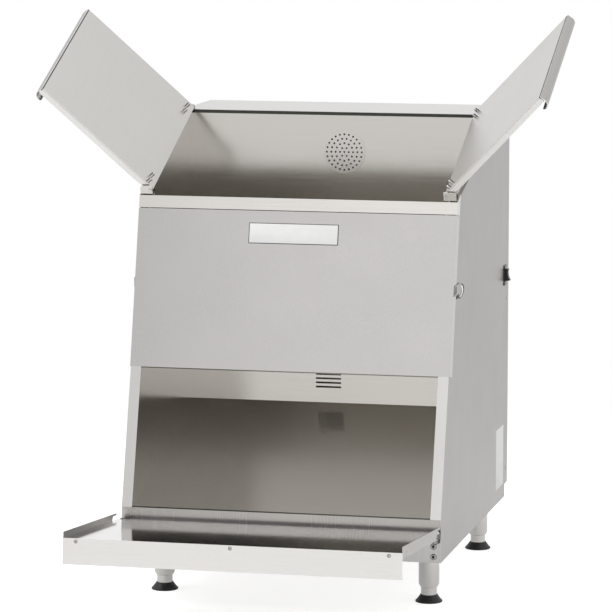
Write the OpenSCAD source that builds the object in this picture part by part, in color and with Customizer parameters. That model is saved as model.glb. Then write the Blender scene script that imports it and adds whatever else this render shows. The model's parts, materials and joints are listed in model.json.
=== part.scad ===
// Countertop chip warmer: a heated sheet-metal hopper on four short legs.
// Two lids hinge outward from the mouth on top, and a drop-down door at the
// front opens into a scooping shelf. A blower behind the hopper warms the bin.
// Lengths are in millimetres and angles in degrees.
// X runs across the front, Y runs to the back and Z runs up from the floor.

/* [Cabinet] */
// Width over the two outer side panels
cabinet_w = 577; // [572:1:584]
// Depth from the base front plate to the rear edge of the side panels
cabinet_d = 650; // [640:1:670]
// Height of the cabinet's lower edge above the floor
cabinet_foot_z = 96.4; // [94:0.2:99]
// Height of the top edge of the base front plate
base_top_z = 172.4; // [170:0.2:175]
// Drop from the rear end of the lid hinge lines to the flat top panel
top_drop = 4.88; // [4:0.02:6]
// Thickness of the folded steel sheet
sheet_t = 1.2; // [1:0.1:1.4]
// Width of the frame strip on each side of the dispensing opening
frame_w = 19; // [18:0.5:20]

/* [Front panel] */
// Height of the front panel's lower edge
throat_z = 415; // [410:1:420]
// Distance from the base front plate back to the front panel's lower edge
throat_y = 67.3; // [66:0.1:69]
// Backward lean of the front panel
face_lean = 13.32; // [13:0.02:13.8]
// Height of the seam between the front panel and the rail above it
seam_z = 693.5; // [690:0.5:695]
// Height of the front rail's top edge
rail_top_z = 714.8; // [714:0.2:716]
// Depth of the front panel's folded edges
face_d = 24; // [22:1:26]
// Distance that the front panel wraps past each side panel
wrap_out = 1.5; // [1.3:0.1:1.6]

/* [Lids] */
// Slope of the hopper mouth and of the lid hinge lines
lid_slope = 22.73; // [22.5:0.01:23]
// Length of a lid along its hinge line
lid_len = 323.5; // [321:0.5:323.5]
// Width of a lid's inner face
lid_w = 271.8; // [271:0.1:271.8]
// Thickness of a lid
lid_t = 10.5; // [10:0.5:12]
// Angle each lid turns from closed to fully open
lid_open = 132.4; // [120:0.1:134]
// Thickness of the lid's sheet
lid_sheet = 0.9; // [0.8:0.1:1]
// Radius of the lid pivot screws
lid_pin_r = 2; // [1.8:0.1:2.2]

/* [Door] */
// Length of the door's inner face from rear edge to handle strip
door_len = 333.66; // [328:0.01:334]
// Angle between the open door and level, front edge high
door_tilt = 5.227; // [4:0.001:6]
// Thickness of the door pan
door_t = 10; // [9:0.5:11]
// Height of the handle strip at the door's free edge
handle_h = 44.7; // [40:0.1:48]
// Height of the side flanges above the door's inner face
door_lip = 10.5; // [9:0.5:12]
// Radius of the door hinge pins
door_pin_r = 2.5; // [2.2:0.1:2.8]

/* [Legs] */
// Distance from the centre plane to each leg
leg_x = 243.6; // [235:0.2:246]
// Distance from the base front plate to the front legs
leg_front_y = 125.8; // [110:0.2:140]
// Distance from the rear edge of the side panels to the rear legs
leg_rear_in = 34.6; // [32:0.2:60]
// Radius of the leg tube
leg_r = 18.5; // [17:0.5:20]
// Radius of the adjustable foot's stem
stem_r = 14.15; // [13:0.05:15]
// Radius of the rubber pad where it meets the floor
pad_r = 24.25; // [22:0.25:26]

/* [Blower] */
// Distance from the centre plane to the fan axis
fan_x = 20; // [10:1:30]
// Height of the fan axis
fan_z = 771; // [765:1:775]
// Radius of the ring of outermost grille holes
grille_ring_r = 33; // [30:1:34]
// Number of hole rings round the grille's centre hole
grille_rings = 4; // [3:1:5]
// Number of blades on the fan wheel
blade_count = 16; // [12:1:20]

/* [Clearances] */
// Radial running clearance on hinge pins and on the motor shaft
pin_gap = 0.05; // [0.03:0.01:0.09]
// Gap between the door's flanges and the front panel
door_gap = 0.6; // [0.5:0.1:0.8]

/* [Hidden] */
$fn = 48;

// Colours
steel = [0.72, 0.72, 0.71];
bright_steel = [0.84, 0.83, 0.82];
dark_rubber = [0.06, 0.06, 0.06];
wool = [0.78, 0.72, 0.55];
black_plastic = [0.08, 0.08, 0.08];
motor_grey = [0.32, 0.33, 0.35];

// Cabinet
half_w = cabinet_w / 2;
skin_in = half_w - sheet_t;
liner_x = half_w - frame_w;
liner_out = liner_x + sheet_t;
wrap_x = half_w + wrap_out;
face_len = (seam_z - throat_z) / cos(face_lean);
rail_len = (rail_top_z - throat_z) / cos(face_lean);
seam_gap = 1.2;
throat_lean = atan(throat_y / (throat_z - base_top_z));
floor_rise = 128;
floor_start_y = 12;
cover_d = 28;
cover_foot_z = 120;
floor_plate_z = 104;
leg_rear_y = cabinet_d - leg_rear_in;

// Lid hinge lines, measured from the top edge of the front rail
rail_top_y = throat_y + (rail_top_z - throat_z) * tan(face_lean);
hinge_back = 1;
hinge_up = 10.1;
hinge_y = rail_top_y - hinge_back;
hinge_z = rail_top_z + hinge_up;
lid_strip_gap = 2.54;
strip_y = hinge_y + (lid_len + lid_strip_gap) * cos(lid_slope);
top_z = hinge_z + (lid_len + lid_strip_gap) * sin(lid_slope) - top_drop;
back_y = strip_y + 2;
lip_z = top_z - sheet_t - 6;
cover_top_z = top_z - 11;
rail_n = -9.7;
mouth_n = -5.4;
ear_t = 2;
ear_front_a = -4;
ear_rear_gap = 1.7;
ear_rear_a = lid_len + ear_rear_gap;
ear_low_x = half_w - 23.5;
ear_high_x = half_w - 1;
ear_top_n = 9.4;
ledge_n = -25.7;
lid_pivot_u = 3.17;
lid_pivot_t = 3.47;
lid_lobe_r = 4;
screw_head_r = 3.6;
screw_head_t = 1.8;
mouth_rail_x = half_w - 4.5;
mouth_rail_low_n = -30;

// Door, measured from its hinge pin: s runs outward, w runs up
door_pivot_y = -15;
door_pivot_z = 149.2;
door_face_w = 4.478;
door_s0 = 7.04;
door_s1 = door_s0 + door_len;
door_low_w = door_face_w - door_t;
door_x = wrap_x + door_gap;
door_out_x = door_x + sheet_t;
handle_low_w = door_face_w - handle_h;
door_sheet = 1;
bracket_in = half_w - 6.5;
bracket_out = half_w - 3.5;
ear_in = half_w - 2.9;
ear_out = half_w - 1.4;
hinge_head_r = 6;
bracket_screw_x = half_w - 12.8;
bracket_screw_z = [107.1, 125.4];

// The object's depth runs from the handle strip's lower edge to the rear
// cover, and the origin sits under the middle of that depth.
door_tip_y = door_pivot_y - door_s1 * cos(door_tilt) + handle_low_w * sin(door_tilt);
rear_y = cabinet_d + cover_d;
origin_y = -(door_tip_y + rear_y) / 2;

function face_pt(d, s) = [
    throat_y + s * sin(face_lean) + d * cos(face_lean),
    throat_z + s * cos(face_lean) - d * sin(face_lean)
];

function hinge_pt(a, n) = [
    hinge_y + a * cos(lid_slope) - n * sin(lid_slope),
    hinge_z + a * sin(lid_slope) + n * cos(lid_slope)
];

function door_pt(s, w) = [
    door_pivot_y - s * cos(door_tilt) + w * sin(door_tilt),
    door_pivot_z + s * sin(door_tilt) + w * cos(door_tilt)
];

// A point set back by d from the sloped edge of the dispensing opening
function throat_pt(z, d) = [
    (z - base_top_z) * tan(throat_lean) + d / cos(throat_lean),
    z
];

floor_slope = floor_rise / (back_y - floor_start_y);
function floor_z(y) = base_top_z + (y - floor_start_y) * floor_slope;

module place() {
    translate([0, origin_y, 0]) children();
}

module mirrored(flip) {
    mirror([flip ? 1 : 0, 0, 0]) children();
}

// Extrudes a Y-Z outline across X
module across(x0, x1, points) {
    translate([x0, 0, 0])
        rotate([90, 0, 90])
            linear_extrude(height = x1 - x0)
                polygon(points);
}

module across_shape(x0, x1) {
    translate([x0, 0, 0])
        rotate([90, 0, 90])
            linear_extrude(height = x1 - x0)
                children();
}

// Places a child drawn in lid hinge coordinates: X, along the hinge, normal
module on_hinge_line() {
    translate([0, hinge_y, hinge_z])
        rotate([lid_slope, 0, 0])
            children();
}

// Places a child drawn in door coordinates: X, minus s, w
module on_door() {
    translate([0, door_pivot_y, door_pivot_z])
        rotate([-door_tilt, 0, 0])
            children();
}

module box(low, high) {
    translate(low) cube(high - low);
}

function side_normal(a, b) = [a[1] - b[1], b[0] - a[0]] / norm(b - a);

// Point i of a path, moved sideways by d and mitred at the fold
function beside(path, i, d) =
    let (last = len(path) - 1,
         before = side_normal(path[max(i - 1, 0)], path[max(i, 1)]),
         after = side_normal(path[min(i, last - 1)], path[min(i + 1, last)]))
    path[i] + (before + after) * d / (1 + before * after);

// A sheet of thickness t folded along a path
module folded_strip(path, t) {
    count = len(path);
    polygon(concat(
        [for (i = [0 : count - 1]) beside(path, i, t / 2)],
        [for (i = [count - 1 : -1 : 0]) beside(path, i, -t / 2)]
    ));
}

// Cabinet shell

switch_in = 14;
switch_y = cabinet_d - switch_in;
switch_z = 524.8;
switch_cut = [19, 31];
ledge_a = (strip_y - hinge_y + ledge_n * sin(lid_slope)) / cos(lid_slope);
ledge_front = [152, 717];
ledge_bend = [247, 743];
ledge_rear = hinge_pt(ledge_a, ledge_n);
rear_flange_x = half_w - 18;
side_outline = [
    [sheet_t, cabinet_foot_z],
    [sheet_t, base_top_z],
    throat_pt(base_top_z, 0),
    throat_pt(throat_z, 0),
    face_pt(sheet_t, 0),
    face_pt(sheet_t, rail_len),
    ledge_front,
    ledge_bend,
    ledge_rear,
    [strip_y, top_z - sheet_t],
    [cabinet_d, top_z - sheet_t],
    [cabinet_d, cabinet_foot_z]
];

// One folded sheet: outer skin, frame strip, top ledge and rear flange
module side_sheet(flip) {
    drop = [0, -sheet_t];
    mirrored(flip) {
        across(skin_in, half_w, side_outline);
        across(liner_x, half_w - sheet_t / 2, [
            throat_pt(base_top_z, 0),
            throat_pt(throat_z, 0),
            throat_pt(throat_z, sheet_t),
            throat_pt(base_top_z, sheet_t)
        ]);
        across(mouth_rail_x, half_w - sheet_t / 2, [
            ledge_front, ledge_bend, ledge_rear,
            ledge_rear + drop, ledge_bend + drop, ledge_front + drop
        ]);
        box([rear_flange_x, cabinet_d - sheet_t, cabinet_foot_z],
            [half_w - sheet_t / 2, cabinet_d, top_z - sheet_t]);
    }
}

module side_panel_left() {
    color(steel) place() side_sheet(true);
}

module side_panel_right() {
    color(steel) place() difference() {
        side_sheet(false);
        box([skin_in - 1, switch_y - switch_cut[0] / 2, switch_z - switch_cut[1] / 2],
            [half_w + 1, switch_y + switch_cut[0] / 2, switch_z + switch_cut[1] / 2]);
    }
}

// Front plate below the dispensing opening, slotted for the door hinges
bracket_screw_r = 2.2;
slot_low_z = 131;
slot_high_z = 150;
slot_r = 2.75;
slot_x = half_w - 4.25;
base_fold = 15;

module base_front_plate() {
    color(bright_steel) place() difference() {
        union() {
            box([-half_w, 0, cabinet_foot_z], [half_w, sheet_t, base_top_z]);
            box([-skin_in, 0, base_top_z - sheet_t], [skin_in, floor_start_y, base_top_z]);
            box([-skin_in, 0, cabinet_foot_z], [skin_in, base_fold, cabinet_foot_z + sheet_t]);
        }
        for (side = [-1, 1]) {
            translate([side * slot_x, 0, 0])
                rotate([-90, 0, 0])
                    translate([0, 0, -1])
                        linear_extrude(height = sheet_t + 2) {
                            translate([0, -slot_low_z - slot_r]) circle(slot_r);
                            translate([0, -slot_high_z + slot_r]) circle(slot_r);
                            translate([-slot_r, -slot_high_z + slot_r])
                                square([2 * slot_r, slot_high_z - slot_low_z - 2 * slot_r]);
                        }
            for (z = bracket_screw_z) {
                translate([side * bracket_screw_x, -1, z])
                    rotate([-90, 0, 0])
                        cylinder(r = bracket_screw_r, h = sheet_t + 2);
            }
        }
    }
}

// Floor of the cabinet with two turned-up edges
bottom_front_y = 4;
bottom_edge_h = 14;

module bottom_panel() {
    rear = cabinet_d - sheet_t;
    color(steel) place() {
        box([-skin_in, bottom_front_y, floor_plate_z],
            [skin_in, rear, floor_plate_z + sheet_t]);
        for (flip = [false, true]) {
            mirrored(flip)
                box([skin_in - sheet_t, bottom_front_y, floor_plate_z],
                    [skin_in, rear, floor_plate_z + bottom_edge_h]);
        }
    }
}

// Removable front panel: face sheet, edges folded back and side wraps
module front_panel() {
    top_s = face_len - seam_gap;
    fold = 12;
    color(steel) place() {
        across(-wrap_x, wrap_x, [
            face_pt(0, 0), face_pt(0, top_s), face_pt(sheet_t, top_s), face_pt(sheet_t, 0)
        ]);
        across(-liner_x, liner_x, [
            face_pt(0, top_s - sheet_t), face_pt(0, top_s),
            face_pt(fold, top_s), face_pt(fold, top_s - sheet_t)
        ]);
        across(-liner_x, liner_x, [
            face_pt(0, 0), face_pt(0, sheet_t), face_pt(face_d, sheet_t), face_pt(face_d, 0)
        ]);
        for (flip = [false, true]) {
            mirrored(flip)
                across(half_w, wrap_x, [
                    face_pt(0, 0), face_pt(0, top_s), face_pt(face_d, top_s), face_pt(face_d, 0)
                ]);
        }
    }
}

rail_back = face_d + sheet_t;
rail_under_s = rail_len - sheet_t;
cheek_a = 26.5;

// Rail along the top of the front: face, flange folded back and end cheeks
module front_rail() {
    color(bright_steel) place() {
        across(-wrap_x, wrap_x, [
            face_pt(0, face_len), face_pt(0, rail_len), face_pt(sheet_t, rail_len),
            face_pt(sheet_t, face_len)
        ]);
        across(-liner_out, liner_out, [
            face_pt(sheet_t, rail_len), face_pt(rail_back, rail_len),
            face_pt(rail_back, rail_under_s), face_pt(sheet_t, rail_under_s)
        ]);
        for (flip = [false, true]) {
            mirrored(flip)
                across(half_w, wrap_x, [
                    face_pt(0, face_len),
                    face_pt(0, rail_len),
                    hinge_pt(cheek_a, rail_n),
                    face_pt(face_d, face_len)
                ]);
        }
    }
}

// Inner wall of the hopper behind the front panel
module front_liner() {
    color(steel) place()
        across(-liner_x, liner_x, [
            face_pt(face_d, 0),
            face_pt(face_d, rail_under_s),
            face_pt(rail_back, rail_under_s),
            face_pt(rail_back, 0)
        ]);
}

liner_top_n = -6;
mouth_rail_a = 28;
mouth_rail_end_a = lid_len - 1.5;
back_out = back_y + sheet_t;
liner_outline = [
    [floor_start_y, base_top_z - sheet_t],
    [floor_start_y, base_top_z],
    throat_pt(base_top_z, sheet_t),
    throat_pt(throat_z, sheet_t),
    face_pt(sheet_t, 0),
    face_pt(sheet_t, rail_under_s),
    face_pt(rail_back, rail_under_s),
    hinge_pt(mouth_rail_a, liner_top_n),
    hinge_pt(mouth_rail_end_a, liner_top_n),
    [back_out, lip_z - sheet_t],
    [back_out, floor_z(back_out) - sheet_t]
];

module hopper_liner(flip) {
    color(steel) place() mirrored(flip) across(liner_x, liner_out, liner_outline);
}

module hopper_liner_left() {
    hopper_liner(true);
}

module hopper_liner_right() {
    hopper_liner(false);
}

// Rear wall of the hopper: fan inlet near the top, warm-air slots low down
duct_left = fan_x - 60;
duct_right = fan_x;
duct_low_z = 320;
inlet_r = grille_ring_r + 2.5;
outlet_slots = 6;
outlet_pitch = 8;
outlet_slot_h = 3.4;
lip_d = 12;

module hopper_back() {
    color(steel) place() difference() {
        union() {
            box([-liner_x, back_y, floor_z(back_y) - sheet_t], [liner_x, back_out, lip_z]);
            box([-liner_x, back_y, lip_z - sheet_t], [liner_x, back_y + lip_d, lip_z]);
            box([-liner_x, back_y + lip_d - sheet_t, lip_z - sheet_t],
                [liner_x, back_y + lip_d, top_z - sheet_t]);
        }
        translate([fan_x, back_y - 1, fan_z])
            rotate([-90, 0, 0])
                cylinder(r = inlet_r, h = sheet_t + 2);
        for (i = [0 : outlet_slots - 1]) {
            low = duct_low_z + 8 + i * outlet_pitch;
            box([duct_left + 6, back_y - 1, low], [duct_right - 6, back_out + 1, low + outlet_slot_h]);
        }
    }
}

// Sloped floor that feeds the dispensing opening
module hopper_floor() {
    color(bright_steel) place()
        across(-liner_x, liner_x, [
            [floor_start_y, base_top_z],
            [back_y, floor_z(back_y)],
            [back_y, floor_z(back_y) - sheet_t],
            [floor_start_y, base_top_z - sheet_t]
        ]);
}

// Upright ear that carries a lid's pivot screw, square to the hinge line
ear_corner_r = 6;

module lid_ear(a, foot_n) {
    on_hinge_line()
        translate([0, a + ear_t, 0])
            rotate([90, 0, 0])
                linear_extrude(height = ear_t)
                    difference() {
                        union() {
                            translate([ear_low_x, foot_n])
                                square([ear_high_x - ear_low_x, ear_top_n - ear_corner_r - foot_n]);
                            translate([ear_low_x, foot_n])
                                square([ear_high_x - ear_corner_r - ear_low_x, ear_top_n - foot_n]);
                            translate([ear_high_x - ear_corner_r, ear_top_n - ear_corner_r])
                                circle(ear_corner_r);
                        }
                        translate([liner_x, 0]) circle(lid_pin_r);
                    }
}

// Lower rear ear, rounded to the lid's own corner
rear_ear_r = 4.2;

module rear_ear(a, foot_n) {
    on_hinge_line()
        translate([0, a + ear_t, 0])
            rotate([90, 0, 0])
                linear_extrude(height = ear_t)
                    difference() {
                        union() {
                            translate([liner_x, 0]) circle(rear_ear_r);
                            translate([liner_x, foot_n])
                                square([ear_high_x - liner_x, rear_ear_r - foot_n]);
                            translate([liner_x - rear_ear_r, foot_n])
                                square([rear_ear_r, -foot_n]);
                        }
                        translate([liner_x, 0]) circle(lid_pin_r);
                    }
}

// Flat top behind the lids, with the two rear ears turned up from its edge
ear_rear_foot_n = -6.6;

module top_rear_panel() {
    color(bright_steel) place() {
        box([-half_w, strip_y, top_z - sheet_t], [half_w, cabinet_d, top_z]);
        for (flip = [false, true]) {
            mirrored(flip) rear_ear(ear_rear_a, ear_rear_foot_n);
        }
    }
}

// Rows of cooling slots, shared by the rear wall and the cover over it
louvre_rows = 9;
louvre_pitch = 16;
louvre_low_z = 200;
louvre_w = 120;
louvre_h = 3.4;
louvre_x = 120;

module cooling_slots(y0, y1) {
    for (i = [0 : louvre_rows - 1], side = [-1, 1]) {
        translate([side * louvre_x, 0, louvre_low_z + i * louvre_pitch])
            box([-louvre_w / 2, y0, 0], [louvre_w / 2, y1, louvre_h]);
    }
}

module back_panel() {
    color(steel) place() difference() {
        box([-rear_flange_x, cabinet_d - sheet_t, cabinet_foot_z],
            [rear_flange_x, cabinet_d, top_z - sheet_t]);
        cooling_slots(cabinet_d - sheet_t - 1, cabinet_d + 1);
    }
}

// Shallow pan over the rear
module rear_cover() {
    color(steel) place() difference() {
        box([-half_w, cabinet_d, cover_foot_z], [half_w, rear_y, cover_top_z]);
        box([-skin_in, cabinet_d - 1, cover_foot_z + sheet_t],
            [skin_in, rear_y - sheet_t, cover_top_z - sheet_t]);
        cooling_slots(rear_y - sheet_t - 1, rear_y + 1);
    }
}

// Channel along each side of the mouth, with the front ear at its end
module mouth_rail(flip) {
    color(bright_steel) place() mirrored(flip) {
        on_hinge_line() {
            difference() {
                box([liner_out, mouth_rail_a, mouth_rail_low_n],
                    [mouth_rail_x, mouth_rail_end_a, mouth_n]);
                box([liner_out + sheet_t, mouth_rail_a + sheet_t, mouth_rail_low_n - 1],
                    [mouth_rail_x - sheet_t, mouth_rail_end_a - sheet_t, mouth_n - sheet_t]);
            }
            box([liner_out, ear_front_a, mouth_n - sheet_t],
                [mouth_rail_x, mouth_rail_a + 1, mouth_n]);
        }
        lid_ear(ear_front_a, mouth_n - sheet_t);
    }
}

module mouth_rail_left() {
    mouth_rail(true);
}

module mouth_rail_right() {
    mouth_rail(false);
}

// Shouldered screws that the lids turn on
pin_reach = 3.2;

module lid_screw(ear_a, inward) {
    along = inward > 0 ? -90 : 90;
    outer_a = inward > 0 ? ear_a : ear_a + ear_t;
    on_hinge_line()
        translate([liner_x, outer_a, 0])
            rotate([along, 0, 0]) {
                translate([0, 0, -screw_head_t])
                    cylinder(r = screw_head_r, h = screw_head_t);
                cylinder(r = lid_pin_r, h = (inward > 0 ? -ear_a : ear_a + ear_t - lid_len) + pin_reach);
            }
}

module lid_pivot_screws() {
    color(bright_steel) place() {
        for (flip = [false, true]) {
            mirrored(flip) {
                lid_screw(ear_front_a, 1);
                lid_screw(ear_rear_a, -1);
            }
        }
    }
}

// Insulation
wool_fit = 0.02;

module front_insulation() {
    top_s = face_len - seam_gap - sheet_t - wool_fit;
    front = sheet_t + wool_fit;
    back = face_d - wool_fit;
    color(wool) place()
        across(-liner_x, liner_x, [
            face_pt(front, front), face_pt(front, top_s),
            face_pt(back, top_s), face_pt(back, front)
        ]);
}

module side_insulation() {
    margin = 8;
    color(wool) place() {
        for (flip = [false, true]) {
            mirrored(flip)
                across(liner_out, skin_in, [
                    throat_pt(base_top_z + margin, margin),
                    throat_pt(throat_z, margin),
                    face_pt(margin, 0),
                    face_pt(margin, rail_len - 2 * margin),
                    hinge_pt(mouth_rail_a, mouth_rail_low_n - 2),
                    hinge_pt(mouth_rail_end_a - 20, mouth_rail_low_n - 2),
                    [back_y - 2, floor_z(back_y)],
                    [floor_start_y + 2 * margin, base_top_z + margin]
                ]);
        }
    }
}

// Blower, heater and wiring behind the hopper

// Round perforated grille over the fan inlet
grille_hole_r = 1.8;
grille_rim = 6;
grille_t = 1.2;

module fan_grille() {
    pitch = grille_ring_r / grille_rings;
    color(bright_steel) place()
        translate([fan_x, back_y - grille_t, fan_z])
            rotate([-90, 0, 0])
                linear_extrude(height = grille_t)
                    difference() {
                        circle(grille_ring_r + grille_rim, $fn = 72);
                        circle(grille_hole_r, $fn = 24);
                        for (ring = [1 : grille_rings], i = [0 : 6 * ring - 1]) {
                            rotate(i * 60 / ring)
                                translate([ring * pitch, 0])
                                    circle(grille_hole_r, $fn = 24);
                        }
                    }
}

blower_r = 60;
blower_d = 64;
blower_back_y = back_out + blower_d;
duct_top_z = fan_z - blower_r - 11;

module on_fan_axis(y) {
    translate([fan_x, y, fan_z]) rotate([-90, 0, 0]) children();
}

// Round housing with a square outlet neck that feeds the duct
module blower_housing() {
    color(steel) place() difference() {
        union() {
            on_fan_axis(back_out) cylinder(r = blower_r, h = blower_d, $fn = 72);
            box([duct_left, back_out, duct_top_z], [duct_right, blower_back_y, fan_z]);
        }
        on_fan_axis(back_out + sheet_t)
            cylinder(r = blower_r - sheet_t, h = blower_d - 2 * sheet_t, $fn = 72);
        box([duct_left + sheet_t, back_out + sheet_t, duct_top_z - 1],
            [duct_right - sheet_t, blower_back_y - sheet_t, fan_z]);
        on_fan_axis(back_out - 1) cylinder(r = inlet_r, h = 4);
        on_fan_axis(blower_back_y - sheet_t - 1) cylinder(r = shaft_r + 3, h = sheet_t + 2);
    }
}

// Duct that carries warm air down to the slots low in the hopper's rear wall
module air_duct() {
    window = outlet_slots * outlet_pitch + 8;
    color(steel) place() difference() {
        box([duct_left, back_out, duct_low_z], [duct_right, blower_back_y, duct_top_z]);
        box([duct_left + sheet_t, back_out + sheet_t, duct_low_z + sheet_t],
            [duct_right - sheet_t, blower_back_y - sheet_t, duct_top_z + 1]);
        box([duct_left + 4, back_out - 1, duct_low_z + 4],
            [duct_right - 4, back_out + sheet_t + 1, duct_low_z + window]);
    }
}

// Heating rods across the duct
heater_rods = 4;
heater_low_z = 500;
heater_pitch = 28;
heater_r = 4;

module heater_element() {
    mid_y = (back_out + blower_back_y) / 2;
    color(motor_grey) place() {
        for (i = [0 : heater_rods - 1]) {
            translate([duct_left + sheet_t, mid_y, heater_low_z + i * heater_pitch])
                rotate([0, 90, 0])
                    cylinder(r = heater_r, h = duct_right - duct_left - 2 * sheet_t);
        }
    }
}

shaft_r = 4;
motor_r = 38;
motor_d = 58;
shaft_front_y = back_out + 12;
shaft_back_y = blower_back_y + motor_d - 6;

module fan_motor() {
    color(motor_grey) place() difference() {
        union() {
            on_fan_axis(blower_back_y) cylinder(r = motor_r, h = motor_d);
            on_fan_axis(blower_back_y + motor_d) cylinder(r = motor_r / 2, h = 6);
        }
        on_fan_axis(blower_back_y - 1)
            cylinder(r = shaft_r + pin_gap, h = shaft_back_y - blower_back_y + 2);
    }
}

module motor_shaft() {
    color(bright_steel) place()
        on_fan_axis(shaft_front_y) cylinder(r = shaft_r, h = shaft_back_y - shaft_front_y);
}

// Fan wheel: hub, back disc, straight blades and front ring
wheel_r = 50;
wheel_inner_r = 34;
wheel_d = 34;
wheel_disc_t = 1.6;
blade_t = 1.2;

module fan_wheel() {
    disc_y = shaft_front_y + wheel_d;
    color(bright_steel) place() difference() {
        union() {
            on_fan_axis(shaft_front_y + 4) cylinder(r = 11, h = wheel_d + 4);
            on_fan_axis(disc_y) cylinder(r = wheel_r, h = wheel_disc_t, $fn = 72);
            on_fan_axis(shaft_front_y) difference() {
                cylinder(r = wheel_r, h = wheel_disc_t, $fn = 72);
                translate([0, 0, -1]) cylinder(r = wheel_r - 8, h = wheel_disc_t + 2, $fn = 72);
            }
            for (i = [0 : blade_count - 1]) {
                on_fan_axis(shaft_front_y + 0.4)
                    rotate([0, 0, i * 360 / blade_count])
                        translate([wheel_inner_r, -blade_t / 2, 0])
                            cube([wheel_r - wheel_inner_r - 0.5, blade_t, wheel_d]);
            }
        }
        on_fan_axis(shaft_front_y - 1) cylinder(r = shaft_r, h = wheel_d + 20);
    }
}

// Round thermostat on the outside of the hopper's rear wall
thermostat_x = -150;
thermostat_z = 600;
thermostat_r = 12;
thermostat_t = 14;
thermostat_flange = [34, 1.6, 12];

module thermostat() {
    color(motor_grey) place() translate([thermostat_x, back_out, thermostat_z]) {
        translate([-thermostat_flange[0] / 2, 0, -thermostat_flange[2] / 2])
            cube(thermostat_flange);
        rotate([-90, 0, 0]) cylinder(r = thermostat_r, h = thermostat_t);
    }
}

// Wiring box on the cabinet floor
terminal_size = [110, 70, 46];
terminal_x = -230;
terminal_in = 90;
terminal_wall = 2;

module terminal_box() {
    wall = [terminal_wall, terminal_wall, 0];
    inside = terminal_size - 2 * wall - [0, 0, terminal_wall - 1];
    color(black_plastic) place()
        translate([terminal_x, cabinet_d - terminal_in, floor_plate_z + sheet_t]) difference() {
            cube(terminal_size);
            translate(wall - [0, 0, 1]) cube(inside);
        }
}

// Power switch on the right side
bezel_y = 22;
bezel_h = 38;
bezel_out = 2;
switch_depth = 26;
rocker_x = half_w + 0.5;
rocker_half_y = 6;
rocker_half_h = 11.1;
rocker_out = 9.2;
rocker_rest = -8;
rocker_pin_r = 1.5;
rocker_pin_end = 7.6;
window_half_y = 6.5;
window_half_h = 11.9;
window_depth = 12;

module switch_housing() {
    color(black_plastic) place() difference() {
        union() {
            box([half_w, switch_y - bezel_y / 2, switch_z - bezel_h / 2],
                [half_w + bezel_out, switch_y + bezel_y / 2, switch_z + bezel_h / 2]);
            box([half_w - switch_depth, switch_y - switch_cut[0] / 2, switch_z - switch_cut[1] / 2],
                [half_w + 0.1, switch_y + switch_cut[0] / 2, switch_z + switch_cut[1] / 2]);
        }
        box([rocker_x - window_depth, switch_y - window_half_y, switch_z - window_half_h],
            [half_w + bezel_out + 1, switch_y + window_half_y, switch_z + window_half_h]);
        translate([rocker_x, switch_y - rocker_pin_end - 0.4, switch_z])
            rotate([-90, 0, 0])
                cylinder(r = rocker_pin_r + pin_gap, h = 2 * rocker_pin_end + 0.8);
    }
}

// Rocker with a hollowed face, shown with its lower end out
module switch_rocker() {
    dish_r = 26;
    dish = rocker_out + sqrt(dish_r * dish_r - rocker_half_h * rocker_half_h);
    color(black_plastic) place()
        translate([rocker_x, switch_y, switch_z])
            rotate([0, rocker_rest, 0]) {
                translate([0, rocker_half_y, 0])
                    rotate([90, 0, 0])
                        linear_extrude(height = 2 * rocker_half_y)
                            difference() {
                                polygon([
                                    [rocker_out, rocker_half_h], [-2, rocker_half_h],
                                    [-5, 5], [-5, -5],
                                    [-2, -rocker_half_h], [rocker_out, -rocker_half_h]
                                ]);
                                translate([dish, 0]) circle(dish_r, $fn = 96);
                            }
                translate([0, rocker_pin_end, 0])
                    rotate([90, 0, 0])
                        cylinder(r = rocker_pin_r, h = 2 * rocker_pin_end);
            }
}

// Formed clips that hold the front panel's wraps to the side panels
clip_z = 561;
clip_h = 18;
clip_rear_y = 157;
clip_t = 2;

module side_clips() {
    front = face_pt(1, (clip_z - throat_z) / cos(face_lean))[0];
    seat_y = front + face_d + 6;
    color(bright_steel) place() {
        for (flip = [false, true]) {
            mirrored(flip) {
                across_shape(wrap_x, wrap_x + clip_t) {
                    translate([front + 2, clip_z - clip_h / 2])
                        square([clip_rear_y - front - 2, clip_h]);
                    translate([clip_rear_y, clip_z]) circle(clip_h / 2);
                }
                across_shape(half_w, wrap_x + clip_t / 2) {
                    translate([seat_y, clip_z - clip_h / 2])
                        square([clip_rear_y - seat_y, clip_h]);
                    translate([clip_rear_y, clip_z]) circle(clip_h / 2);
                }
            }
        }
    }
}

// Door hinge
bracket_plate_t = 2;
bracket_low_z = 100;
bracket_high_z = 150;
bracket_screw_end = 0.5;
bracket_plate_low_x = half_w - 26.5;
bracket_plate_high_x = half_w - 2.5;
toe_gap = 0.3;

// Bracket behind the base plate, with an ear through the slot. Its toe under
// the door pan is the stop that holds the open door up.
module hinge_brackets() {
    back = sheet_t + bracket_plate_t;
    color(steel) place() {
        for (flip = [false, true]) {
            mirrored(flip) difference() {
                union() {
                    box([bracket_plate_low_x, sheet_t, bracket_low_z],
                        [bracket_plate_high_x, back, bracket_high_z]);
                    across_shape(bracket_in, bracket_out) {
                        translate([door_pivot_y, slot_low_z + 1])
                            square([back - door_pivot_y, 15]);
                        translate([door_pivot_y, door_pivot_z]) circle(hinge_head_r);
                        polygon([
                            door_pt(-2, door_low_w - toe_gap),
                            door_pt(30, door_low_w - toe_gap),
                            door_pt(26, -14),
                            door_pt(-2, -14)
                        ]);
                    }
                }
                across_shape(bracket_in - 1, bracket_out + 1)
                    translate([door_pivot_y, door_pivot_z]) circle(door_pin_r);
                for (z = bracket_screw_z) {
                    translate([bracket_screw_x, 0, z])
                        rotate([-90, 0, 0])
                            cylinder(r = bracket_screw_r, h = back + 1);
                }
            }
        }
    }
}

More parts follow.
